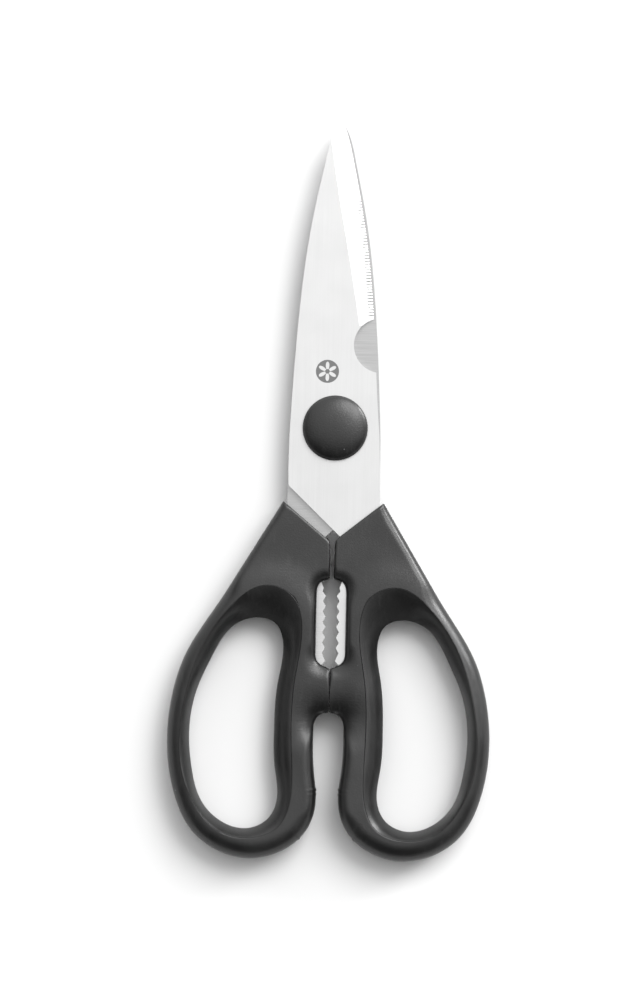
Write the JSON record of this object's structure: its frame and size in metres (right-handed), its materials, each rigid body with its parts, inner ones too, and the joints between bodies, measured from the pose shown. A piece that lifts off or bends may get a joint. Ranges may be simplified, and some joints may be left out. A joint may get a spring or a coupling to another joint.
{
  "type": "poultry shears",
  "caption": "Heavy kitchen shears with broad pointed blades, bone notch, capped pivot, toothed gripper between the handles and two large finger loops.",
  "frame": {"origin": "on the pivot axis, at the flat underside of the rear cap, where the shears lie", "axes": "+Z along the pivot axis towards the front cap, +Y along the closed blades towards their tips, +X towards the front blade's handle"},
  "size_m": [0.089, 0.2051, 0.0116],
  "materials": {
    "blade_steel": "fine lengthwise satin grind, polished bevel",
    "handle_plastic": "matte moulded, fine texture",
    "grip_rubber": "soft matte",
    "cap_plastic": "matte moulded",
    "pivot_steel": "turned",
    "washer_plastic": "natural nylon",
    "spring_steel": "tempered"
  },
  "bodies": {
    "rear_half": {"rear_blade": "blade_steel", "rear_handle": "handle_plastic", "rear_grip_liner": "grip_rubber", "pivot_barrel": "pivot_steel", "pivot_screw": "pivot_steel", "friction_washer": "washer_plastic", "spring_washer": "spring_steel", "front_cap": "cap_plastic", "rear_cap": "cap_plastic"},
    "front_half": {"front_blade": "blade_steel", "front_handle": "handle_plastic", "front_grip_liner": "grip_rubber"}
  },
  "joints": [
    {"name": "blade_pivot", "type": "hinge", "parent": "rear_half", "child": "front_half", "pos_m": [0, 0, 0.0058], "axis": [0, 0, 1], "range_deg": [0, 110]}
  ]
}
